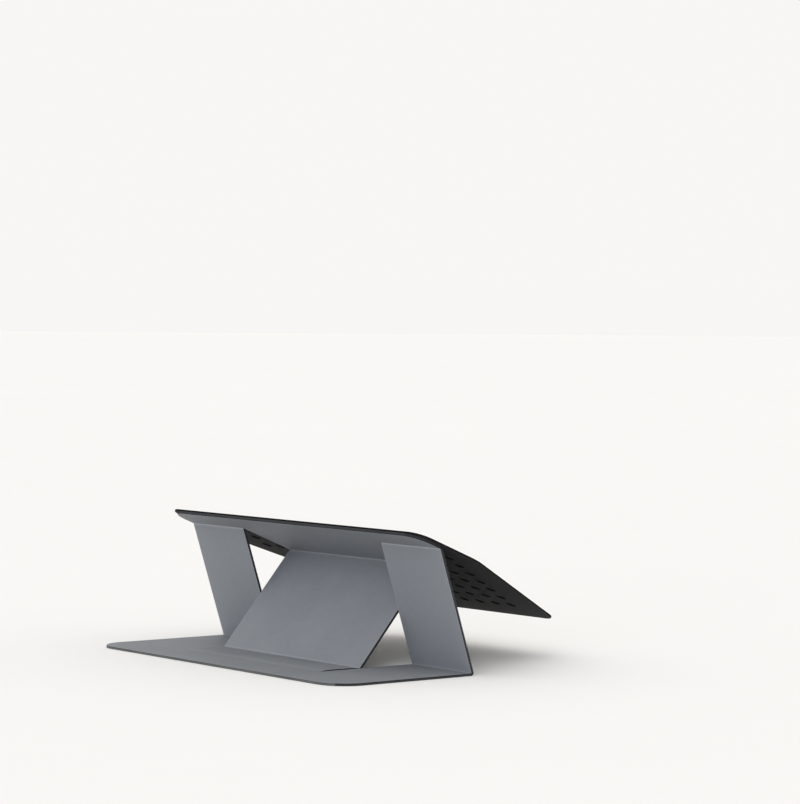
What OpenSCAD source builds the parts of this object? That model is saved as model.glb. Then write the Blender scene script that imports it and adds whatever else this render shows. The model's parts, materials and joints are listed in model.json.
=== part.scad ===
// Folding laptop stand that sticks to the underside of a computer.
// One slit sheet of stiff boards in a soft skin hangs under a perforated plate.
// Its folds make a crossed four-bar: two legs, a centre panel, and a base on the desk.
// Millimetres. The origin is on the desk, in the middle of the base. +X is the stand's width,
// +Y runs forwards under the computer and +Z is up. The model stands open.

/* [Stance] */
// Angle between the desk and the plate, in degrees
tilt = 22.4; // [18:0.1:28]
// Leg panels, from the plate's fold to the desk's fold
leg_len = 70; // [60:0.5:80]
// Tongue, from the legs' top fold to the centre panel's top fold
tongue_len = 35; // [28:0.5:40]

/* [Sheet] */
// Width of the folding sheet
sheet_w = 229; // [200:1:260]
// Strip glued under the plate behind the legs
strip_len = 18; // [14:0.5:24]
// Base, from the legs' bottom fold to the rear edge
base_len = 88.5; // [84:0.5:100]
// Width of the tongue, the centre panel and the flap between the two long cuts
centre_w = 126.8; // [100:0.2:150]
// Width of the two long cuts
cut_w = 0.6; // [0.4:0.1:1]
// Flap that the cuts leave in the base behind the centre panel
flap_len = 26; // [20:0.5:32]
// Corner radius at the rear of the base
base_r = 17; // [4:0.5:20]
// Corner radius at the rear of the glued strip
strip_r = 12; // [4:0.5:14]

/* [Layers] */
// Soft outer skin
skin_t = 0.4; // [0.3:0.05:0.5]
// Stiff boards behind the skin
board_t = 1.0; // [0.8:0.05:1.2]
// Bonding film between the glued board and the plate
film_t = 0.2; // [0.15:0.05:0.3]
// Perforated plate
plate_t = 0.9; // [0.8:0.1:1.5]
// Adhesive layer on the plate
pad_t = 0.4; // [0.3:0.1:1]

/* [Plate] */
// Width of the plate at its rear edge
plate_w = 234; // [210:1:260]
// Width of the plate at its front edge
plate_front_w = 137; // [110:1:160]
// Depth of the plate, measured along its face
plate_len = 146; // [130:0.2:170]
// Straight part of the plate's sides, from the rear edge to the bend
plate_side = 42; // [28:1:44]
// Corner radius at the plate's rear
plate_r = 10; // [6:0.5:16]
// Corner radius at the plate's front
plate_front_r = 12; // [6:0.5:14]
// Radius of the soft bend in the plate's sides
plate_bend_r = 24; // [10:1:30]
// Margin that the adhesive leaves free round the plate's edge
pad_margin = 2; // [1:0.5:5]

/* [Vents] */
// Diameter of a vent hole
vent_d = 5.8; // [4:0.1:7]
// Distance between holes along a row
vent_pitch = 13.6; // [11:0.1:15]
// Distance between rows
row_pitch = 14.1; // [12:0.1:15]
// Number of rows
rows = 7; // [3:1:7]
// Number of holes in the rear row
rear_vents = 15; // [11:1:15]
// First row, measured forwards from the legs' top fold
first_row = 21.9; // [18:0.1:24]

/* [Closing magnets] */
// Diameter of the disc magnets that hold the closed sheet to the plate
magnet_d = 8; // [5:0.5:10]
// Thickness of a disc magnet
magnet_t = 0.6; // [0.4:0.05:0.6]
// Distance of a magnet from the middle of the stand
magnet_x = 76; // [72:1:78]
// Distance of a magnet from the legs' top fold when the stand is closed
magnet_y = 88; // [82:1:92]

/* [Hidden] */
$fn = 48;

// Colours
skin_colour = [0.45, 0.47, 0.50];
board_colour = [0.13, 0.14, 0.15];
plate_colour = [0.19, 0.19, 0.20];
pad_colour = [0.10, 0.10, 0.11];
film_colour = [0.16, 0.16, 0.17];
magnet_colour = [0.70, 0.71, 0.73];

// Clearances at a fold: each panel's skin and board stop short of the fold's axis,
// and the carrying skin reaches it in a round bead
skin_gap = 0.5;
board_gap = 0.6;
pocket_gap = 0.1;
cut_over = 1;
crease_r = 1;
crease_depth = 0.15;
corner_steps = 8;
vent_sides = 18;

// Half widths
half_sheet = sheet_w / 2;
half_centre = centre_w / 2;
leg_x = half_centre + cut_w;
leg_w = half_sheet - leg_x;

// Fold angles of the open four-bar, whose legs and centre panel are equal
// and whose tongue equals the base between its two folds
link_ratio = (leg_len - tongue_len) / (leg_len + tongue_len);
half_cot = 1 / tan(tilt / 2);
leg_fold_tan = (-(1 + link_ratio) + sqrt(pow(1 + link_ratio, 2) + 4 * half_cot * half_cot * link_ratio))
    / (2 * half_cot);
leg_fold = 2 * atan(leg_fold_tan);
base_fold = 180 - tilt - leg_fold;

// Levels across the sheet, measured from the fold axes in the middle of the skin
half_skin = skin_t / 2;
mount_z = half_skin + board_t;
plate_z = mount_z + film_t;
pad_z = plate_z + plate_t;

// Fold axes in the side view: [y, z]
leg_foot = [base_len / 2, half_skin + board_t];
leg_top = leg_foot + leg_len * [cos(base_fold), sin(base_fold)];
tongue_tip = leg_top + tongue_len * [cos(tilt), -sin(tilt)];

// Unit vector
function unit(v) = v / norm(v);

// Arc of radius r that rounds the corner p between the neighbours a and b
function corner_arc(a, p, b, r) =
    let (
        u = unit(a - p),
        v = unit(b - p),
        half = acos(u * v) / 2,
        centre = p + unit(u + v) * r / sin(half),
        first = (p + u * r / tan(half) - centre) / r,
        last = (p + v * r / tan(half) - centre) / r,
        sweep = 180 - 2 * half
    )
    [for (i = [0:corner_steps])
        let (k = i / corner_steps)
        centre + r * (first * sin((1 - k) * sweep) + last * sin(k * sweep)) / sin(sweep)];

// Outline with a radius at each corner, where 0 keeps it sharp
function rounded(points, radii) =
    let (count = len(points))
    [for (i = [0:count - 1])
        let (arc = radii[i] == 0 ? [points[i]] : corner_arc(
            points[(i + count - 1) % count], points[i], points[(i + 1) % count], radii[i]))
        for (p = arc) p];

// Each body in its own flat frame: y runs along the closed sheet from the body's fold,
// z points to the inner side and the skin faces -z
module on_plate() {
    translate([0, leg_top[0], leg_top[1]]) rotate([-tilt, 0, 0]) children();
}

module on_leg() {
    translate([0, leg_top[0], leg_top[1]]) rotate([-tilt - leg_fold, 0, 0]) children();
}

module on_centre() {
    translate([0, tongue_tip[0], tongue_tip[1]]) rotate([-tilt - base_fold, 0, 0]) children();
}

module on_base() {
    translate([0, leg_foot[0], leg_foot[1]]) rotate([-180, 0, 0]) children();
}

// Flat layer between two levels
module layer(low, high) {
    translate([0, 0, low]) linear_extrude(high - low) children();
}

// Rectangle from one y to another, between two x
module band(x0, x1, y0, y1) {
    translate([x0, y0]) square([x1 - x0, y1 - y0]);
}

// Round bead of skin along a fold
module bead(x0, x1, y) {
    translate([x0, y, 0]) rotate([0, 90, 0]) cylinder(d = skin_t, h = x1 - x0);
}

// Strip and tongue, both stopping short of their folds by gap
module mount_outline(gap) {
    polygon(rounded([
        [-half_sheet, -gap], [-half_sheet, -strip_len], [half_sheet, -strip_len], [half_sheet, -gap],
        [half_centre, -gap], [half_centre, tongue_len - gap],
        [-half_centre, tongue_len - gap], [-half_centre, -gap]
    ], [0, strip_r, strip_r, 0, 0, 0, 0, 0]));
}

// Whole base up to the legs' fold, with its two rounded rear corners
module base_sheet(front) {
    polygon(rounded([
        [half_sheet, front], [half_sheet, base_len], [-half_sheet, base_len], [-half_sheet, front]
    ], [0, base_r, base_r, 0]));
}

// Plate outline, inset all round by margin
module plate_outline(margin) {
    rear = -strip_len + margin;
    front = plate_len - strip_len - margin;
    side_slope = (plate_w - plate_front_w) / 2 / (plate_len - plate_side);
    slant = margin * sqrt(1 + side_slope * side_slope);
    rear_x = plate_w / 2 - margin;
    bend_y = plate_side - strip_len - (slant - margin) / side_slope;
    front_x = plate_front_w / 2 - slant + margin * side_slope;
    polygon(rounded([
        [-rear_x, rear], [rear_x, rear], [rear_x, bend_y],
        [front_x, front], [-front_x, front], [-rear_x, bend_y]
    ], [plate_r - margin, plate_r - margin, plate_bend_r,
        plate_front_r - margin, plate_front_r - margin, plate_bend_r]));
}

// Staggered rows of round holes that lose a hole each, clear of the glued tongue
module vents(grow) {
    for (row = [0:rows - 1]) {
        count = rear_vents - row;
        y = first_row + row * row_pitch;
        for (i = [0:count - 1]) {
            x = (i - (count - 1) / 2) * vent_pitch;
            if (y - vent_d / 2 > tongue_len || abs(x) - vent_d / 2 > half_centre)
                translate([x, y]) circle(d = vent_d + 2 * grow, $fn = vent_sides);
        }
    }
}

// Disc pocket or magnet, at a height
module disc(side, y, z, d, h) {
    translate([side * magnet_x, y, z]) cylinder(d = d, h = h);
}

// Adhesive layer that sticks to the computer, with open vents
module adhesive_pad() {
    color(pad_colour) on_plate() layer(pad_z, pad_z + pad_t) difference() {
        plate_outline(pad_margin);
        vents(0.4);
    }
}

// Perforated plate, with magnet pockets under the adhesive
module vent_plate() {
    color(plate_colour) on_plate() difference() {
        layer(plate_z, pad_z) difference() {
            plate_outline(0);
            vents(0);
        }
        for (side = [-1, 1])
            disc(side, magnet_y, pad_z - magnet_t, magnet_d + 2 * pocket_gap, magnet_t + cut_over);
    }
}

// Disc magnet in the plate
module plate_magnet(side) {
    color(magnet_colour) on_plate() disc(side, magnet_y, pad_z - magnet_t, magnet_d, magnet_t);
}

// Film that bonds the sheet's strip and tongue to the plate
module bond_film() {
    color(film_colour) on_plate() layer(mount_z, plate_z) mount_outline(board_gap);
}

// Board of the strip and tongue
module mount_board() {
    color(board_colour) on_plate() layer(half_skin, mount_z) mount_outline(board_gap);
}

// Skin of the strip and tongue, with a bead on each of its three folds
module mount_skin() {
    color(skin_colour) on_plate() {
        layer(-half_skin, half_skin) mount_outline(0);
        bead(-half_sheet, -leg_x, 0);
        bead(leg_x, half_sheet, 0);
        bead(-half_centre, half_centre, tongue_len);
    }
}

// Flat panel between two folds
module panel(x0, x1, low, high, gap) {
    layer(low, high) band(x0, x1, gap, leg_len - gap);
}

// Board of one leg
module leg_board(side) {
    x0 = side < 0 ? -half_sheet : leg_x;
    color(board_colour) on_leg() panel(x0, x0 + leg_w, half_skin, mount_z, board_gap);
}

// Skin of one leg
module leg_skin(side) {
    x0 = side < 0 ? -half_sheet : leg_x;
    color(skin_colour) on_leg() panel(x0, x0 + leg_w, -half_skin, half_skin, skin_gap);
}

// Board of the centre panel
module centre_board() {
    color(board_colour) on_centre() panel(-half_centre, half_centre, half_skin, mount_z, board_gap);
}

// Skin of the centre panel
module centre_skin() {
    color(skin_colour) on_centre() panel(-half_centre, half_centre, -half_skin, half_skin, skin_gap);
}

// Base board: two prongs and a rear bar round the flap, with magnet pockets under the skin
module base_board() {
    color(board_colour) on_base() difference() {
        layer(half_skin, mount_z) difference() {
            base_sheet(board_gap);
            band(-leg_x, leg_x, -cut_over, tongue_len + flap_len + board_gap);
        }
        for (side = [-1, 1])
            disc(side, magnet_y - leg_len, half_skin - cut_over,
                magnet_d + 2 * pocket_gap, magnet_t + cut_over);
    }
}

// Board of the flap between the cuts, which lies on the desk
module flap_board() {
    color(board_colour) on_base() layer(half_skin, mount_z)
        band(-half_centre, half_centre, tongue_len + board_gap, tongue_len + flap_len - board_gap);
}

// Base skin in one piece, with the two cuts and the pressed crease of the flap
module base_skin() {
    crease_y = tongue_len + flap_len;
    color(skin_colour) on_base() {
        difference() {
            layer(-half_skin, half_skin) difference() {
                base_sheet(0);
                band(-leg_x, leg_x, -cut_over, tongue_len);
                for (side = [-1, 1])
                    translate([side * (half_centre + cut_w / 2), 0])
                        band(-cut_w / 2, cut_w / 2, tongue_len - cut_over, crease_y);
            }
            translate([-half_centre, crease_y, -half_skin - crease_r + crease_depth])
                rotate([0, 90, 0]) cylinder(r = crease_r, h = centre_w);
        }
        bead(-half_sheet, -leg_x, 0);
        bead(leg_x, half_sheet, 0);
        bead(-half_centre, half_centre, tongue_len);
    }
}

// Disc magnet in a prong of the base
module base_magnet(side) {
    color(magnet_colour) on_base() disc(side, magnet_y - leg_len, half_skin, magnet_d, magnet_t);
}

adhesive_pad();
vent_plate();
plate_magnet(-1);  // plate_magnet_left
plate_magnet(1);  // plate_magnet_right
bond_film();
mount_board();
mount_skin();
leg_board(-1);  // leg_left_board
leg_skin(-1);  // leg_left_skin
leg_board(1);  // leg_right_board
leg_skin(1);  // leg_right_skin
centre_board();
centre_skin();
base_board();
flap_board();
base_skin();
base_magnet(-1);  // base_magnet_left
base_magnet(1);  // base_magnet_right
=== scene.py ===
# Looks of the folding stand: a slit sheet of skinned board under a perforated plate.
import json
import math

import bpy
from mathutils import Matrix, Vector


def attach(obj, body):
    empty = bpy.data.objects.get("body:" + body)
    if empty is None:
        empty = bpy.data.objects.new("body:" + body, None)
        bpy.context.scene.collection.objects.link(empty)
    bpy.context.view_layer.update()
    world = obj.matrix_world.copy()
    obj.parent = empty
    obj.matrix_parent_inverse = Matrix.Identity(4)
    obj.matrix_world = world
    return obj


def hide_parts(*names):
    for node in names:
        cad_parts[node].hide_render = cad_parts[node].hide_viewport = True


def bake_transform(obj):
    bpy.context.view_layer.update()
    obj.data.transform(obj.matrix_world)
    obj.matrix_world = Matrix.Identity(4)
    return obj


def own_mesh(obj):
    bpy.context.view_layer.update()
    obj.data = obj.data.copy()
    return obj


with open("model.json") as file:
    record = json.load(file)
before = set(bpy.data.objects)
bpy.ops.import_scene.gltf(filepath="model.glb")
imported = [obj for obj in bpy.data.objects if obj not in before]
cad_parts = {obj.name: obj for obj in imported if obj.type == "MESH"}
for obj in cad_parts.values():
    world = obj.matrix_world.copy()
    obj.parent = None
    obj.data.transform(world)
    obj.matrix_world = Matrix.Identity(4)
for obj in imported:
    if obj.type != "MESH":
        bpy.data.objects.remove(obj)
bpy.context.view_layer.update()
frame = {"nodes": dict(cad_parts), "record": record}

MM = 0.001
record = frame["record"]
folds = {joint["name"]: joint for joint in record["behaviour"]["joints"]}
faces = {mount["name"]: mount for mount in record["mounts"]}

# The stand's stance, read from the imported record
leg_top = Vector(folds["leg_right_top_fold"]["pos_m"])
leg_foot = Vector(folds["leg_bottom_fold"]["pos_m"])
centre_foot = Vector(folds["centre_bottom_fold"]["pos_m"])
leg_turn = math.radians(folds["leg_right_top_fold"]["range_deg"][1])
plate_normal = Vector(faces["adhesive_face"]["axis"])
tilt = math.atan2(plate_normal.y, plate_normal.z)
foot_turn = math.pi - tilt - leg_turn

# Sizes of the sheet, in metres
half_sheet = 114.5 * MM
half_centre = 63.4 * MM
leg_inner = 64.0 * MM
leg_length = 70.0 * MM
tongue_length = 35.0 * MM
strip_depth = 18.0 * MM
strip_corner = 12.0 * MM
base_depth = 88.5 * MM
base_corner = 17.0 * MM
flap_depth = 26.0 * MM
skin_thick = 0.4 * MM
half_skin = skin_thick / 2
board_thick = 1.0 * MM
board_level = half_skin + board_thick
board_gap = 0.6 * MM
magnet_x = 76.0 * MM
magnet_y = 18.0 * MM
pocket_radius = 4.1 * MM
pocket_depth = 0.6 * MM
crease_depth = 0.15 * MM
crease_half = 0.7 * MM
crease_inset = 1.5 * MM
bow_rise = 0.5 * MM

left_span = (-half_sheet, -leg_inner)
right_span = (leg_inner, half_sheet)
middle_span = (-half_centre, half_centre)

# Soft edges and folds
skin_edge = 0.11 * MM
board_edge = 0.09 * MM
plate_edge = 0.10 * MM
pad_edge = 0.06 * MM
wide_fold = 1.0 * MM
tight_fold = 0.5 * MM
parted_lining = 0.7 * MM
rub_band = 2.2 * MM

# Steps along a round shape
corner_steps = 14
rim_steps = 3
plate_rim_steps = 2
fold_steps = 12
pocket_sides = 48

# How near two points are to count as one, in metres
near_corner = 1e-5
touching = 1e-6
welded = 1e-7

# Turns between two faces: flat enough to merge, soft enough to shade smooth, sharp enough to ease
flat_join = math.radians(1)
soft_join = math.radians(12)
sharp_join = math.radians(50)

# Limits on the parts of a face's normal, for two faces that meet squarely and for faces that count as cut
square_join = 0.3
side_lean = 0.75
end_lean = 0.6
rear_lean = 1.2

tongue_tip = leg_top + tongue_length * Vector((0, math.cos(tilt), -math.sin(tilt)))


def flat_frame(origin, turn):
    """Frame of a body: y runs along the sheet from its fold, z points to the inner side."""
    return Matrix.Translation(origin) @ Matrix.Rotation(-turn, 4, "X")


on_plate = flat_frame(leg_top, tilt)
on_leg = flat_frame(leg_top, tilt + leg_turn)
on_centre = flat_frame(tongue_tip, tilt + foot_turn)
on_base = flat_frame(leg_foot, math.pi)


# Work at the bench: each step acts on one piece

def pick_only(piece):
    bpy.ops.object.select_all(action="DESELECT")
    piece.select_set(True)
    bpy.context.view_layer.objects.active = piece


def pick_all():
    bpy.ops.mesh.select_all(action="SELECT")


def edit(piece, mode="EDGE"):
    """Opens a piece for editing, with nothing picked."""
    pick_only(piece)
    bpy.ops.object.mode_set(mode="EDIT")
    bpy.ops.mesh.select_mode(type=mode)
    bpy.ops.mesh.select_all(action="DESELECT")


def edit_all(piece, mode="EDGE"):
    """Opens a piece for editing, with everything picked."""
    edit(piece, mode)
    pick_all()


def done():
    bpy.ops.object.mode_set(mode="OBJECT")


def pick_verts(piece, wanted):
    bpy.ops.mesh.select_all(action="DESELECT")
    done()
    for vert in piece.data.vertices:
        vert.select = bool(wanted(vert.co))
    bpy.ops.object.mode_set(mode="EDIT")


def plane_piece(name, location, sides, rotation=(0, 0, 0)):
    """Flat rectangle with the given sides, its scale and place kept in its mesh."""
    bpy.ops.object.select_all(action="DESELECT")
    bpy.ops.mesh.primitive_plane_add(size=1, location=location, rotation=rotation)
    piece = bpy.context.object
    piece.name = name
    piece.data.name = name
    piece.scale = (*sides, 1)
    bpy.ops.object.transform_apply(location=True, rotation=True, scale=True)
    return piece


def blank(name, x0, x1, y0, y1):
    """Flat blank of sheet between two x and two y, in its body's frame."""
    return plane_piece(name, ((x0 + x1) / 2, (y0 + y1) / 2, 0), (x1 - x0, y1 - y0))


def score(piece, xs=(), ys=()):
    """Cuts the blank across at the given x and y, without parting it."""
    edit(piece)
    for x in xs:
        pick_all()
        bpy.ops.mesh.bisect(plane_co=(x, 0, 0), plane_no=(1, 0, 0))
    for y in ys:
        pick_all()
        bpy.ops.mesh.bisect(plane_co=(0, y, 0), plane_no=(0, 1, 0))
    done()


def cut_away(piece, wanted):
    """Cuts away the faces whose middles are wanted."""
    edit(piece, "FACE")
    done()
    for face in piece.data.polygons:
        face.select = bool(wanted(face.center))
    bpy.ops.object.mode_set(mode="EDIT")
    bpy.ops.mesh.delete(type="FACE")
    done()


def round_corners(piece, places, radius):
    """Rounds the blank's corners at the given places, before its rim is marked."""
    edit_all(piece)
    bpy.ops.mesh.dissolve_limited(angle_limit=flat_join)
    bpy.ops.mesh.select_mode(type="VERT")
    pick_verts(piece, lambda co: any((co.xy - Vector(place)).length < near_corner for place in places))
    bpy.ops.mesh.bevel(offset=radius, segments=corner_steps, affect="VERTICES", profile=0.5)
    done()


def mark_rub(piece):
    """Keeps a band along the cut rim for wear: 1 on the rim and 0 from the band's inner line."""
    edit_all(piece, "FACE")
    bpy.ops.mesh.dissolve_limited(angle_limit=flat_join)
    pick_all()
    bpy.ops.mesh.inset(thickness=rub_band, use_boundary=True, use_even_offset=True)
    done()
    rub = piece.data.attributes.new("rub", "FLOAT", "POINT")
    faces_at = {}
    for face in piece.data.polygons:
        for key in face.edge_keys:
            faces_at[key] = faces_at.get(key, 0) + 1
    rim = {vert for key, count in faces_at.items() if count == 1 for vert in key}
    rub.data.foreach_set("value", [float(i in rim) for i in range(len(piece.data.vertices))])


def thicken(piece, low, high):
    """Gives the flat blank its thickness, from one level to another."""
    edit_all(piece)
    bpy.ops.transform.translate(value=(0, 0, low))
    bpy.ops.mesh.normals_make_consistent(inside=False)
    done()
    if piece.data.polygons[0].normal.z < 0:
        edit_all(piece)
        bpy.ops.mesh.flip_normals()
        done()
    wall = piece.modifiers.new("thickness", "SOLIDIFY")
    wall.thickness = high - low
    wall.offset = 1
    bpy.ops.object.modifier_apply(modifier=wall.name)


def soften_rim(piece, width, folds_at=()):
    """Rounds the cut rim, and leaves the ends sharp where the skin runs on into a fold."""
    edit(piece)
    done()
    mesh = piece.data
    sides = {}
    for face in mesh.polygons:
        for key in face.edge_keys:
            sides.setdefault(key, []).append(face.normal.copy())
    for edge in mesh.edges:
        pair = sides.get(edge.key, [])
        a, b = (mesh.vertices[i].co for i in edge.vertices)
        at_fold = any(abs(a.y - y) < touching and abs(b.y - y) < touching
                      and x0 - touching <= min(a.x, b.x) and max(a.x, b.x) <= x1 + touching
                      for x0, x1, y in folds_at)
        level = abs(a.z - b.z) < welded
        corner = len(pair) == 2 and abs(pair[0].dot(pair[1])) < square_join
        edge.select = level and corner and not at_fold
    bpy.ops.object.mode_set(mode="EDIT")
    bpy.ops.mesh.bevel(offset=width, segments=rim_steps, affect="EDGES", profile=0.5)
    done()


def cut_side(normal):
    """True for the sides of a flat piece, where its sheet was cut."""
    return abs(normal.z) < side_lean


def cut_end(normal):
    """True for the two ends of a fold."""
    return abs(normal.x) > end_lean


def rear_rim(normal):
    """True for the base's rim at its open side, up to about the middle of its corners."""
    return cut_side(normal) and normal.y > rear_lean * abs(normal.x)


def plate_cut(normal):
    """True for the rims and hole walls of a sheet that lies in the plate's plane."""
    return abs(normal.dot(plate_normal)) < side_lean


def set_down(piece, place, body, finish, nodes=(), cuts=()):
    """Puts a finished piece in its place, gives it its finishes and lets it ride."""
    pick_only(piece)
    piece.data.materials.clear()
    piece.data.materials.append(finish)
    for index, (is_cut, cut_finish) in enumerate(cuts, 1):
        piece.data.materials.append(cut_finish)
        for face in piece.data.polygons:
            if is_cut(face.normal):
                face.material_index = index
    piece.matrix_world = place
    bpy.ops.object.transform_apply(location=True, rotation=True, scale=True)
    bpy.ops.object.shade_smooth_by_angle(angle=soft_join)
    if body:
        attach(piece, body)
    if nodes:
        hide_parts(*nodes)
    return piece


# Shader steps

def feed(tree, socket, value):
    """Sets a socket to a number or a colour, or links it to another node."""
    if isinstance(value, (int, float)):
        socket.default_value = value
    elif isinstance(value, tuple):
        socket.default_value = value + (1,)
    else:
        tree.links.new(value, socket)


def maths(tree, kind, *values):
    node = tree.nodes.new("ShaderNodeMath")
    node.operation = kind
    for socket, value in zip(node.inputs, values):
        feed(tree, socket, value)
    return node.outputs[0]


def weigh(tree, first, share, second):
    """The first value by its share and the second by the rest."""
    first_part = maths(tree, "MULTIPLY", first, share)
    second_part = maths(tree, "MULTIPLY", second, 1 - share)
    return maths(tree, "ADD", first_part, second_part)


def noise(tree, vector, scale, detail=3.0, rough=0.55):
    node = tree.nodes.new("ShaderNodeTexNoise")
    node.inputs["Detail"].default_value = detail
    node.inputs["Roughness"].default_value = rough
    tree.links.new(vector, node.inputs["Vector"])
    feed(tree, node.inputs["Scale"], scale)
    return node.outputs["Fac"]


def spread(tree, value, low, high):
    """Stretches the values between low and high to 0 to 1, with soft ends."""
    node = tree.nodes.new("ShaderNodeMapRange")
    node.interpolation_type = "SMOOTHSTEP"
    tree.links.new(value, node.inputs["Value"])
    node.inputs["From Min"].default_value = low
    node.inputs["From Max"].default_value = high
    return node.outputs["Result"]


def mix_colour(tree, share, first, second):
    node = tree.nodes.new("ShaderNodeMix")
    node.data_type = "RGBA"
    shares, first_colours, second_colours = node.inputs[0], node.inputs[6], node.inputs[7]
    feed(tree, shares, share)
    feed(tree, first_colours, first)
    feed(tree, second_colours, second)
    return node.outputs[2]


# Shader effects that several finishes share

def effect(name, inputs, outputs):
    """Empty group with its inputs and outputs."""
    group = bpy.data.node_groups.new(name, "ShaderNodeTree")
    for label, kind, value in inputs:
        socket = group.interface.new_socket(label, in_out="INPUT", socket_type=kind)
        if value is not None:
            socket.default_value = value
    for label, kind in outputs:
        group.interface.new_socket(label, in_out="OUTPUT", socket_type=kind)
    return group, group.nodes.new("NodeGroupInput"), group.nodes.new("NodeGroupOutput")


def pebble_grain(wander_scale=420.0, wander_reach=0.0009, valley_width=0.22, fine_scale=5200.0,
                 dome_share=0.8):
    """Pebbled grain of a coated skin: rounded cells with fine creases between them."""
    group, given, out = effect("pebble_grain", (
        ("Vector", "NodeSocketVector", None), ("Scale", "NodeSocketFloat", 1400.0),
        ("Roundness", "NodeSocketFloat", 0.6)), (
        ("Height", "NodeSocketFloat"), ("Valleys", "NodeSocketFloat")))
    wander = group.nodes.new("ShaderNodeTexNoise")
    wander.inputs["Scale"].default_value = wander_scale
    wander.inputs["Detail"].default_value = 2.0
    group.links.new(given.outputs["Vector"], wander.inputs["Vector"])
    shift = group.nodes.new("ShaderNodeVectorMath")
    shift.operation = "SCALE"
    group.links.new(wander.outputs["Color"], shift.inputs[0])
    shift.inputs["Scale"].default_value = wander_reach
    place = group.nodes.new("ShaderNodeVectorMath")
    place.operation = "ADD"
    group.links.new(given.outputs["Vector"], place.inputs[0])
    group.links.new(shift.outputs[0], place.inputs[1])
    cells = group.nodes.new("ShaderNodeTexVoronoi")
    cells.feature = "DISTANCE_TO_EDGE"
    group.links.new(place.outputs[0], cells.inputs["Vector"])
    group.links.new(given.outputs["Scale"], cells.inputs["Scale"])
    valley = spread(group, cells.outputs["Distance"], 0.0, valley_width)
    dome = maths(group, "POWER", valley, given.outputs["Roundness"])
    fine = noise(group, given.outputs["Vector"], fine_scale, 2.0)
    group.links.new(weigh(group, dome, dome_share, fine), out.inputs["Height"])
    group.links.new(maths(group, "SUBTRACT", 1.0, valley), out.inputs["Valleys"])
    return group


def tone_drift(broad_share=0.65, drift_low=0.3, drift_high=0.7):
    """Slow drift of a dyed or moulded colour, with a finer mottle in it."""
    group, given, out = effect("tone_drift", (
        ("Vector", "NodeSocketVector", None),
        ("Light tone", "NodeSocketColor", (0.5, 0.5, 0.5, 1)),
        ("Dark tone", "NodeSocketColor", (0.4, 0.4, 0.4, 1)),
        ("Broad scale", "NodeSocketFloat", 14.0), ("Fine scale", "NodeSocketFloat", 260.0)), (
        ("Colour", "NodeSocketColor"), ("Drift", "NodeSocketFloat")))
    broad = noise(group, given.outputs["Vector"], given.outputs["Broad scale"], 2.0)
    fine = noise(group, given.outputs["Vector"], given.outputs["Fine scale"], 3.0)
    drift = spread(group, weigh(group, broad, broad_share, fine), drift_low, drift_high)
    group.links.new(mix_colour(group, drift, given.outputs["Dark tone"], given.outputs["Light tone"]),
                    out.inputs["Colour"])
    group.links.new(drift, out.inputs["Drift"])
    return group


def rim_rub(speck_scale=900.0, patch_scale=60.0, band_start=0.35, gain=3.2):
    """Wear that gathers along a cut rim and breaks up as it fades inwards."""
    group, given, out = effect("rim_rub", (
        ("Vector", "NodeSocketVector", None), ("Rim", "NodeSocketFloat", 0.0),
        ("Reach", "NodeSocketFloat", 0.6)), (("Mask", "NodeSocketFloat"),))
    broken = noise(group, given.outputs["Vector"], speck_scale, 4.0, 0.65)
    patchy = noise(group, given.outputs["Vector"], patch_scale, 2.0)
    edge = spread(group, given.outputs["Rim"], band_start, 1.0)
    mask = maths(group, "MULTIPLY", edge, maths(group, "MULTIPLY", broken, patchy))
    mask = maths(group, "MULTIPLY", mask, maths(group, "MULTIPLY", given.outputs["Reach"], gain))
    clamp = group.nodes.new("ShaderNodeClamp")
    group.links.new(mask, clamp.inputs["Value"])
    group.links.new(clamp.outputs[0], out.inputs["Mask"])
    return group


def settled_dust(least_upward=0.2, patch_scale=35.0, patch_low=0.4, patch_high=0.75):
    """Thin dust on faces that look up, in soft patches."""
    group, given, out = effect("settled_dust", (
        ("Vector", "NodeSocketVector", None), ("Amount", "NodeSocketFloat", 0.2)), (
        ("Mask", "NodeSocketFloat"),))
    facing = group.nodes.new("ShaderNodeNewGeometry")
    parts = group.nodes.new("ShaderNodeSeparateXYZ")
    group.links.new(facing.outputs["Normal"], parts.inputs[0])
    upwards = spread(group, parts.outputs["Z"], least_upward, 1.0)
    cloud = noise(group, given.outputs["Vector"], patch_scale, 4.0, 0.6)
    mask = maths(group, "MULTIPLY", upwards, spread(group, cloud, patch_low, patch_high))
    group.links.new(maths(group, "MULTIPLY", mask, given.outputs["Amount"]), out.inputs["Mask"])
    return group


grain_group = pebble_grain()
tone_group = tone_drift()
rub_group = rim_rub()
dust_group = settled_dust()


# Finishes

def finish_of(name):
    """New finish, with its tree, its shader and the place on the object."""
    finish = bpy.data.materials.new(name)
    finish.use_nodes = True
    tree = finish.node_tree
    where = tree.nodes.new("ShaderNodeTexCoord").outputs["Object"]
    return finish, tree, tree.nodes["Principled BSDF"], where


def use(tree, group, where, **values):
    """Puts a shared effect into a finish, with its settings."""
    node = tree.nodes.new("ShaderNodeGroup")
    node.node_tree = group
    tree.links.new(where, node.inputs["Vector"])
    for label, value in values.items():
        feed(tree, node.inputs[label.replace("_", " ")], value)
    return node


def two_tones(tree, where, light, dark, broad=14.0, fine=260.0):
    """Drift between a light and a dark tone, with the scales of the drift and of its mottle."""
    return use(tree, tone_group, where, Light_tone=light, Dark_tone=dark, Broad_scale=broad, Fine_scale=fine)


def set_colour(tree, shader, colour):
    tree.links.new(colour, shader.inputs["Base Color"])


def set_gloss(tree, shader, mask, smoothest, more, specular=0.5):
    """Roughness from its smoothest value up by a mask, and the strength of the shine."""
    rough = maths(tree, "ADD", smoothest, maths(tree, "MULTIPLY", mask, more))
    tree.links.new(rough, shader.inputs["Roughness"])
    shader.inputs["Specular IOR Level"].default_value = specular


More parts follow.
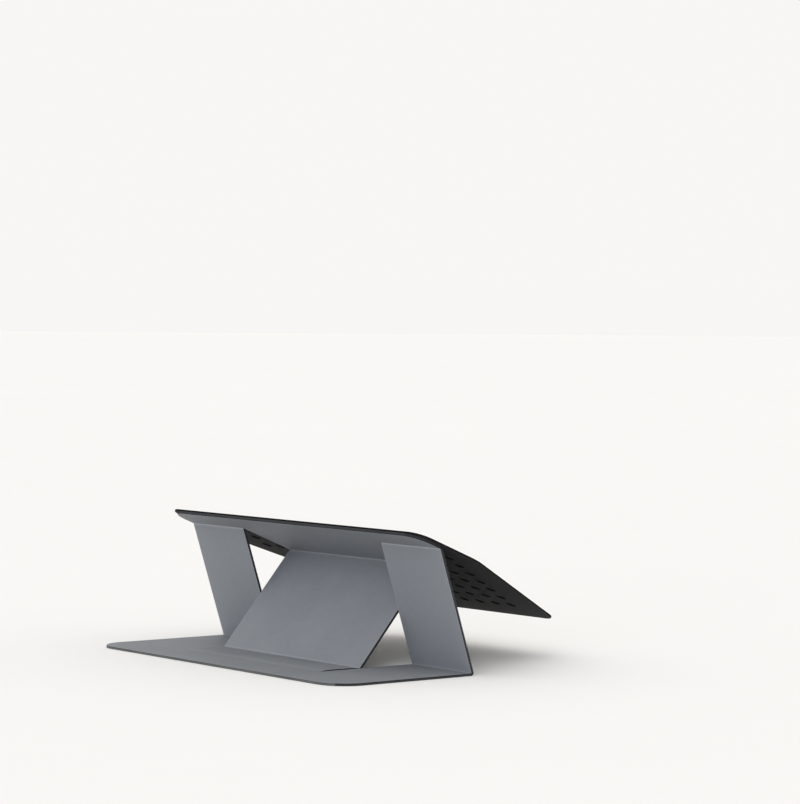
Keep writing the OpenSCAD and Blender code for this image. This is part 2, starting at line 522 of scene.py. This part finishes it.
def raise_marks(tree, shader, height, strength, depth):
    """Relief by bump, with its depth in metres."""
    node = tree.nodes.new("ShaderNodeBump")
    node.inputs["Strength"].default_value = strength
    node.inputs["Distance"].default_value = depth
    tree.links.new(height, node.inputs["Height"])
    tree.links.new(node.outputs[0], shader.inputs["Normal"])


def rim_value(tree):
    node = tree.nodes.new("ShaderNodeAttribute")
    node.attribute_name = "rub"
    return node.outputs["Fac"]


def lifted(colour, lift):
    return tuple(lift * share for share in colour)


def grey_skin(name, lift=1.0):
    """Blue-grey coated skin with a fine matt pebble; a lift above 1 lightens its colours as a painted
    highlight, as on the folds.
    """
    light, dark, valley = (0.229, 0.242, 0.258), (0.210, 0.222, 0.239), (0.139, 0.148, 0.162)
    worn, dusty = (0.33, 0.345, 0.36), (0.42, 0.42, 0.41)
    finish, tree, shader, where = finish_of(name)
    tone = two_tones(tree, where, lifted(light, lift), lifted(dark, lift))
    grain = use(tree, grain_group, where, Scale=1500.0)
    rub = use(tree, rub_group, where, Rim=rim_value(tree), Reach=0.5)
    dust = use(tree, dust_group, where, Amount=0.10)
    valleys, rubbed = grain.outputs["Valleys"], rub.outputs["Mask"]
    colour = mix_colour(tree, maths(tree, "MULTIPLY", valleys, 0.16), tone.outputs["Colour"],
                        lifted(valley, lift))
    colour = mix_colour(tree, maths(tree, "MULTIPLY", rubbed, 0.5), colour, worn)
    set_colour(tree, shader, mix_colour(tree, dust.outputs["Mask"], colour, dusty))
    rough = maths(tree, "ADD", 0.56, maths(tree, "MULTIPLY", valleys, 0.16))
    rough = maths(tree, "SUBTRACT", rough, maths(tree, "MULTIPLY", rubbed, 0.12))
    tree.links.new(rough, shader.inputs["Roughness"])
    shader.inputs["Specular IOR Level"].default_value = 0.36
    raise_marks(tree, shader, grain.outputs["Height"], strength=0.35, depth=0.08 * MM)
    return finish


def dark_board():
    """Dark fibre board with a faint felt, worn a little along its rim."""
    worn = (0.055, 0.057, 0.06)
    finish, tree, shader, where = finish_of("dark_board")
    tone = two_tones(tree, where, (0.024, 0.026, 0.029), (0.014, 0.015, 0.017), broad=30.0, fine=700.0)
    rub = use(tree, rub_group, where, Rim=rim_value(tree), Reach=0.4)
    fibre = noise(tree, where, 3800.0, detail=4.0, rough=0.7)
    rubbed = maths(tree, "MULTIPLY", rub.outputs["Mask"], 0.5)
    set_colour(tree, shader, mix_colour(tree, rubbed, tone.outputs["Colour"], worn))
    set_gloss(tree, shader, fibre, smoothest=0.62, more=0.24, specular=0.3)
    raise_marks(tree, shader, fibre, strength=0.3, depth=0.06 * MM)
    return finish


def dark_plate():
    """Dark moulded sheet with a fine spark-eroded texture."""
    dusty = (0.22, 0.22, 0.215)
    finish, tree, shader, where = finish_of("dark_plate")
    tone = two_tones(tree, where, (0.031, 0.031, 0.032), (0.024, 0.024, 0.025), broad=18.0, fine=900.0)
    grain = use(tree, grain_group, where, Scale=2600.0, Roundness=0.9)
    dust = use(tree, dust_group, where, Amount=0.06)
    set_colour(tree, shader, mix_colour(tree, dust.outputs["Mask"], tone.outputs["Colour"], dusty))
    set_gloss(tree, shader, grain.outputs["Valleys"], smoothest=0.72, more=0.14, specular=0.1)
    raise_marks(tree, shader, grain.outputs["Height"], strength=0.25, depth=0.05 * MM)
    return finish


def tacky_layer():
    """Dark adhesive layer: nearly smooth, with soft pressing marks and caught dust."""
    dusty = (0.2, 0.2, 0.195)
    finish, tree, shader, where = finish_of("tacky_layer")
    tone = two_tones(tree, where, (0.02, 0.02, 0.022), (0.012, 0.012, 0.013), broad=9.0, fine=120.0)
    dust = use(tree, dust_group, where, Amount=0.12)
    set_colour(tree, shader, mix_colour(tree, dust.outputs["Mask"], tone.outputs["Colour"], dusty))
    press = noise(tree, where, 45.0, rough=0.5)
    set_gloss(tree, shader, press, smoothest=0.3, more=0.3)
    raise_marks(tree, shader, press, strength=0.2, depth=0.2 * MM)
    return finish


def bonding_film():
    """Thin dark bonding film, with a fine mottle from its rolling."""
    finish, tree, shader, where = finish_of("bonding_film")
    tone = two_tones(tree, where, (0.028, 0.028, 0.030), (0.016, 0.016, 0.018), broad=25.0, fine=500.0)
    set_colour(tree, shader, tone.outputs["Colour"])
    set_gloss(tree, shader, tone.outputs["Drift"], smoothest=0.5, more=0.2, specular=0.2)
    return finish


def marked_finish(name, light, dark, broad, fine, marks, smoothest, more, relief, specular=0.5, detail=3.0,
                  rough=0.55, metal=0.0):
    """Finish of a cut or turned face: a drifting tone, with fine marks that roughen it and stand out."""
    finish, tree, shader, where = finish_of(name)
    set_colour(tree, shader, two_tones(tree, where, light, dark, broad, fine).outputs["Colour"])
    shader.inputs["Metallic"].default_value = metal
    fine_marks = noise(tree, where, marks, detail, rough)
    set_gloss(tree, shader, fine_marks, smoothest, more, specular)
    strength, depth = relief
    raise_marks(tree, shader, fine_marks, strength, depth)
    return finish


skin_finish = grey_skin("grey_skin")
# Lighter copies of the skin: a painted highlight along the folds, brighter for the legs' top folds
fold_highlight_finish = grey_skin("creased_skin", lift=1.3)
bright_fold_highlight_finish = grey_skin("pale_creased_skin", lift=1.75)
board_finish = dark_board()
plate_finish = dark_plate()
pad_finish = tacky_layer()
film_finish = bonding_film()

# Dark sealed cut edge, slightly uneven from the brush
edge_finish = marked_finish("sealed_edge", light=(0.020, 0.021, 0.023), dark=(0.012, 0.013, 0.014),
                            broad=60.0, fine=900.0, marks=1800.0, rough=0.6, smoothest=0.6, more=0.25,
                            specular=0.2, relief=(0.25, 0.05 * MM))

# Mid-grey finish for the base's rear rim, far lighter than the sealed edges, with fine marks
mid_grey_rim_finish = marked_finish("raw_edge", light=(0.116, 0.117, 0.119), dark=(0.092, 0.093, 0.096),
                           broad=60.0, fine=900.0, marks=2600.0, rough=0.65, smoothest=0.65, more=0.25,
                           specular=0.2, relief=(0.3, 0.05 * MM))

# Near-black walls of punched holes and trimmed rims, with fine draw marks: far darker than the plate itself,
# painted shade for the shadow inside the holes and along the plate's rim
painted_shade_wall_finish = marked_finish("punched_wall", light=(0.005, 0.005, 0.006), dark=(0.002, 0.002, 0.003),
                            broad=80.0, fine=1200.0, marks=3000.0, detail=2.0, smoothest=0.75, more=0.2,
                            specular=0.06, relief=(0.2, 0.04 * MM))

# Plated disc magnet with fine scratches
magnet_finish = marked_finish("plated_disc", light=(0.60, 0.61, 0.63), dark=(0.48, 0.49, 0.51),
                              broad=120.0, fine=1500.0, marks=2400.0, detail=2.0, smoothest=0.22,
                              more=0.2, metal=1.0, relief=(0.15, 0.03 * MM))

sealed_sides = ((cut_side, edge_finish),)
sealed_ends = ((cut_end, edge_finish),)
mid_grey_rear_sides = ((rear_rim, mid_grey_rim_finish),)
painted_shade_sides = ((plate_cut, painted_shade_wall_finish),)


# The sheet: skins outside and boards inside, cut from flat blanks

def reach(radius, turn):
    """How far a fold of this radius eats into each panel."""
    return radius * math.tan(turn / 2)


top_reach = reach(wide_fold, leg_turn)
foot_reach = reach(tight_fold, foot_turn)


def finish_blank(piece, low, high, edge, folds_at=()):
    """Turns a flat blank into a sheet with its wear band, its thickness and its soft rim."""
    mark_rub(piece)
    thicken(piece, low, high)
    soften_rim(piece, edge, folds_at)


def set_skin(piece, place, body, cuts=sealed_sides):
    set_down(piece, place, body, skin_finish, (body + "_skin",), cuts)


def set_board(piece, place, body, node, cuts=()):
    set_down(piece, place, body, board_finish, (node,), cuts)


def plain_panel(body, place, span, first_reach, last_reach):
    """Skin and board of a plain panel between two folds."""
    x0, x1 = span
    y0, y1 = first_reach, leg_length - last_reach
    skin = blank(body + "_skin_cover", x0, x1, y0, y1)
    finish_blank(skin, -half_skin, half_skin, skin_edge, ((x0, x1, y0), (x0, x1, y1)))
    set_skin(skin, place, body)
    board = blank(body + "_board_core", x0, x1, board_gap, leg_length - board_gap)
    finish_blank(board, half_skin, board_level, board_edge)
    set_board(board, place, body, body + "_board")


def mount_blank(name, strip_front, tongue_front):
    """Glued strip with its rounded rear corners, and the tongue."""
    piece = blank(name, -half_sheet, half_sheet, -strip_depth, tongue_front)
    score(piece, xs=middle_span, ys=(strip_front,))
    cut_away(piece, lambda middle: middle.y > strip_front and abs(middle.x) > half_centre)
    round_corners(piece, ((-half_sheet, -strip_depth), (half_sheet, -strip_depth)), strip_corner)
    return piece


def mount_skin():
    strip_front, tongue_front = -top_reach, tongue_length - foot_reach
    piece = mount_blank("mount_skin_cover", strip_front, tongue_front)
    finish_blank(piece, -half_skin, half_skin, skin_edge, (
        (*left_span, strip_front), (*right_span, strip_front), (*middle_span, tongue_front)))
    set_skin(piece, on_plate, "mount")


def mount_board():
    piece = mount_blank("mount_board_core", -board_gap, tongue_length - board_gap)
    finish_blank(piece, half_skin, board_level, board_edge)
    set_board(piece, on_plate, "mount", "mount_board")


def lift_rows(piece, rows, half_width):
    """Moves the points of each row along the sheet's normal: a row is its y and its rise."""
    for y, rise in rows:
        edit(piece, "VERT")
        pick_verts(piece, lambda co: abs(co.x) < half_width and abs(co.y - y) < touching)
        bpy.ops.transform.translate(value=(0, 0, rise))
        done()


def press_crease(piece, at):
    """Presses the flap's shallow crease into the skin, between the ends of the two slits."""
    end = half_centre - crease_inset
    score(piece, xs=(-end, end), ys=(at - crease_half, at - crease_half / 2, at, at + crease_half / 2,
                                     at + crease_half))
    lift_rows(piece, ((at, crease_depth), (at - crease_half / 2, crease_depth / 2),
                      (at + crease_half / 2, crease_depth / 2)), half_centre - touching)


# Rows across the flap, from its fold to its crease, with their share of the bow's rise
bow_shares = ((38.0 * MM, 0.45), (42.0 * MM, 0.85), (48.0 * MM, 1.0), (54.0 * MM, 1.0), (58.0 * MM, 0.8))
bow_rows = [(y, -bow_rise * share) for y, share in bow_shares]


def bow_flap(piece):
    """Bows the flap up a little between its fold and its crease, as the pull of the centre panel does."""
    score(piece, ys=[y for y, rise in bow_rows])
    lift_rows(piece, bow_rows, half_centre + touching)


def round_rear(piece):
    round_corners(piece, ((-half_sheet, base_depth), (half_sheet, base_depth)), base_corner)


def base_skin():
    """Base with its notch, its two slits and the flap between them."""
    prong_front, notch = foot_reach, tongue_length + top_reach
    crease = tongue_length + flap_depth
    piece = blank("base_skin_cover", -half_sheet, half_sheet, prong_front, base_depth)
    score(piece, xs=(-leg_inner, -half_centre, half_centre, leg_inner), ys=(notch, crease))
    cut_away(piece, lambda middle: middle.y < notch and abs(middle.x) < leg_inner)
    cut_away(piece, lambda middle: middle.y < crease and half_centre < abs(middle.x) < leg_inner)
    round_rear(piece)
    mark_rub(piece)
    press_crease(piece, crease)
    bow_flap(piece)
    thicken(piece, -half_skin, half_skin)
    soften_rim(piece, skin_edge, (
        (*left_span, prong_front), (*right_span, prong_front), (*middle_span, notch)))
    set_skin(piece, on_base, "base", sealed_sides + mid_grey_rear_sides)


def drill_pocket(piece, x, y, low, high):
    """Sinks a round pocket for a magnet."""
    bpy.ops.object.select_all(action="DESELECT")
    bpy.ops.mesh.primitive_cylinder_add(vertices=pocket_sides, radius=pocket_radius, depth=high - low,
                                        location=(x, y, (low + high) / 2))
    bit = bpy.context.object
    pick_only(piece)
    bore = piece.modifiers.new("pocket", "BOOLEAN")
    bore.operation = "DIFFERENCE"
    bore.solver = "EXACT"
    bore.object = bit
    bpy.ops.object.modifier_apply(modifier=bore.name)
    bpy.data.objects.remove(bit)


def base_board():
    """Two prongs and a rear bar round the flap, with a magnet pocket in each prong."""
    back = tongue_length + flap_depth + board_gap
    below = half_skin - 1.0 * MM
    piece = blank("base_board_core", -half_sheet, half_sheet, board_gap, base_depth)
    score(piece, xs=(-leg_inner, leg_inner), ys=(back,))
    cut_away(piece, lambda middle: middle.y < back and abs(middle.x) < leg_inner)
    round_rear(piece)
    finish_blank(piece, half_skin, board_level, board_edge)
    for x in (-magnet_x, magnet_x):
        drill_pocket(piece, x, magnet_y, below, half_skin + pocket_depth)
    set_board(piece, on_base, "base", "base_board", mid_grey_rear_sides)


def flap_board():
    piece = blank("flap_board_core", -half_centre, half_centre, tongue_length + board_gap,
                  tongue_length + flap_depth - board_gap)
    mark_rub(piece)
    bow_flap(piece)
    thicken(piece, half_skin, board_level)
    soften_rim(piece, board_edge)
    set_board(piece, on_base, "base", "flap_board")


plain_panel("leg_left", on_leg, left_span, top_reach, foot_reach)
plain_panel("leg_right", on_leg, right_span, top_reach, foot_reach)
plain_panel("centre", on_centre, middle_span, foot_reach, top_reach)
mount_skin()
mount_board()
base_skin()
base_board()
flap_board()


# The folds: skin and lining carried round from one panel to the next

def fold_layers(radius, turn, finish, lining_thick):
    """Skin and lining of a fold: name, bend radius, and the layer's levels, rim, slot and finish."""
    lining_top = half_skin + lining_thick
    lining_radius = board_gap / math.tan(turn / 2)
    return (("_crease", radius, (-half_skin, half_skin, skin_edge, "skin", finish)),
            ("_lining", lining_radius, (half_skin, lining_top, board_edge, "board", board_finish)))


def fold_piece(name, axis_point, start_turn, span, radius, turn, layer, part=(0.0, 1.0)):
    """One layer carried round a fold, or round a part of it, from one panel's edge to the next."""
    low, high, rim, slot_name, finish = layer
    first_part, last_part = part
    tangent = reach(radius, turn)
    centre = Vector((0, -tangent, -radius))
    piece = plane_piece(name, ((span[0] + span[1]) / 2, -tangent, (low + high) / 2),
                        (span[1] - span[0], high - low), rotation=(math.radians(90), 0, 0))
    edit_all(piece, "VERT")
    bpy.ops.mesh.bevel(offset=rim, segments=rim_steps, affect="VERTICES", profile=0.5)
    done()
    piece.data.transform(Matrix.Translation(centre) @ Matrix.Rotation(-turn * first_part, 4, "X")
                         @ Matrix.Translation(-centre))
    edit_all(piece, "FACE")
    bpy.ops.mesh.spin(steps=fold_steps, angle=turn * (last_part - first_part), center=centre, axis=(1, 0, 0))
    pick_all()
    bpy.ops.mesh.remove_doubles(threshold=welded)
    bpy.ops.mesh.normals_make_consistent(inside=False)
    done()
    return set_down(piece, flat_frame(axis_point, start_turn), None, finish, (), sealed_ends)


def joined_fold(name, axis_point, start_turn, span, radius, turn, finish):
    """Fold between two panels that a joint joins: its skin and lining, baked in place and attached to
    neither panel.
    """
    for label, bend, layer in fold_layers(radius, turn, finish, board_thick):
        piece = fold_piece(name + label, axis_point, start_turn, span, bend, turn, layer)
        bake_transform(piece)


def split_fold(name, axis_point, start_turn, span, radius, turn, before, after, finish):
    """Fold that parts at its middle, half of it with each panel; each half of its lining gets a mesh of its
    own.
    """
    halves = (("_near", before, (0.0, 0.5), start_turn, -board_gap),
              ("_far", after, (0.5, 1.0), start_turn + turn, board_gap))
    for label, bend, layer in fold_layers(radius, turn, finish, parted_lining):
        for half, body, part, panel_turn, board_end in halves:
            piece = fold_piece(name + label + half, axis_point, start_turn, span, bend, turn, layer, part)
            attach(piece, body)
            if label == "_lining":
                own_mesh(piece)


foot_start = tilt + leg_turn
centre_start = tilt + foot_turn
# The legs' top folds, the tongue tip and the centre foot take skin with a painted highlight
joined_fold("leg_left_top", leg_top, tilt, left_span, wide_fold, leg_turn,
            bright_fold_highlight_finish)
joined_fold("leg_right_top", leg_top, tilt, right_span, wide_fold, leg_turn,
            bright_fold_highlight_finish)
joined_fold("leg_right_foot", leg_foot, foot_start, right_span, tight_fold, foot_turn,
            skin_finish)
split_fold("leg_left_foot", leg_foot, foot_start, left_span, tight_fold, foot_turn,
           "leg_left", "base", skin_finish)
split_fold("tongue_tip", tongue_tip, tilt, middle_span, tight_fold, foot_turn,
           "mount", "centre", fold_highlight_finish)
joined_fold("centre_foot", centre_foot, centre_start, middle_span, wide_fold, leg_turn,
            fold_highlight_finish)


# The plate and its adhesive layer, and the finishes of the CAD nodes

def eased_copy(node, width, finish):
    """Copy of a flat CAD node of the mount with its sharp rims eased."""
    source = frame["nodes"][node]
    piece = bpy.data.objects.new(node + "_eased", source.data.copy())
    bpy.context.scene.collection.objects.link(piece)
    edit_all(piece, "VERT")
    bpy.ops.mesh.remove_doubles(threshold=touching)
    bpy.ops.mesh.dissolve_limited(angle_limit=flat_join)
    done()
    rim = piece.modifiers.new("eased_rim", "BEVEL")
    rim.width = width
    rim.segments = plate_rim_steps
    rim.limit_method = "ANGLE"
    rim.angle_limit = sharp_join
    bpy.ops.object.modifier_apply(modifier=rim.name)
    # Rims and hole walls of the plate and the pad take the near-black painted shade finish
    set_down(piece, Matrix.Identity(4), "mount", finish, (node,), painted_shade_sides)


eased_copy("vent_plate", plate_edge, plate_finish)
eased_copy("adhesive_pad", pad_edge, pad_finish)

slot_finishes = {"skin": skin_finish, "board": board_finish, "plate": plate_finish, "film": film_finish,
                 "adhesive": pad_finish, "magnet": magnet_finish}
node_slots = {row["node"]: row["material_slot"] for row in record["subparts"]}
for node in frame["nodes"].values():
    for holder in node.material_slots:
        holder.material = slot_finishes[node_slots[node.name]]


# Floor, light and camera

def studio_floor(side=160):
    """Pale floor that runs on to the horizon, with its side in metres."""
    finish, tree, shader, where = finish_of("pale_floor")
    tone = two_tones(tree, where, (0.953, 0.940, 0.917), (0.945, 0.932, 0.909), broad=1.5, fine=20.0)
    set_colour(tree, shader, tone.outputs["Colour"])
    shader.inputs["Roughness"].default_value = 0.9
    bpy.ops.object.select_all(action="DESELECT")
    bpy.ops.mesh.primitive_plane_add(size=side, location=(0, 0, 0))
    floor = bpy.context.object
    floor.name = "floor"
    floor.data.materials.append(finish)


def even_sky(colour):
    """Even light from all round, which is also the backdrop."""
    world = bpy.data.worlds.new("studio")
    world.use_nodes = True
    background = world.node_tree.nodes["Background"]
    background.inputs["Color"].default_value = colour + (1,)
    background.inputs["Strength"].default_value = 1.0
    bpy.context.scene.world = world


def soft_sun(name, direction, softness, power, colour):
    """Large soft light from far away, so the floor is lit evenly to its far end."""
    bpy.ops.object.light_add(type="SUN", location=direction)
    lamp = bpy.context.object
    lamp.name = name
    lamp.data.energy = power
    lamp.data.color = colour
    lamp.data.angle = math.radians(softness)
    lamp.rotation_mode = "QUATERNION"
    lamp.rotation_quaternion = (-Vector(direction)).to_track_quat("-Z", "Y")


def photo_camera(place, turn, dip, roll, focal_pixels, picture_pixels, sensor=36.0):
    """Camera of the photograph: its place in metres, its angles in degrees, its sensor in millimetres.

    The turn goes from +Y to -X, the dip is downwards, and the focal length goes with the picture's
    longer side, both in pixels."""
    turn, dip, roll = math.radians(turn), math.radians(dip), math.radians(roll)
    ahead = Vector((-math.sin(turn) * math.cos(dip), math.cos(turn) * math.cos(dip), -math.sin(dip)))
    right = Vector((math.cos(turn), math.sin(turn), 0))
    up = right.cross(ahead)
    across = math.cos(roll) * right + math.sin(roll) * up
    upright = math.cos(roll) * up - math.sin(roll) * right
    bpy.ops.object.camera_add(location=place)
    camera = bpy.context.object
    camera.name = "photo_camera"
    camera.data.sensor_fit = "AUTO"
    camera.data.sensor_width = sensor
    camera.data.lens = focal_pixels * sensor / picture_pixels
    axes = Matrix((across, upright, -ahead)).transposed()
    camera.rotation_mode = "QUATERNION"
    camera.rotation_quaternion = axes.to_quaternion()
    camera.data.clip_start, camera.data.clip_end = 0.05, 400
    bpy.context.scene.camera = camera


studio_floor()
photo_camera(place=(1.272582, -0.910974, 0.181586), turn=51.969, dip=1.463, roll=0.462,
             focal_pixels=2872.84, picture_pixels=804.0)
bpy.context.scene.view_settings.view_transform = "Standard"
even_sky((0.930, 0.921, 0.905))
soft_sun("camera_side_softbox", direction=(0.6, -0.8, 0.25), softness=40, power=1.22,
         colour=(0.79, 0.85, 1.0))
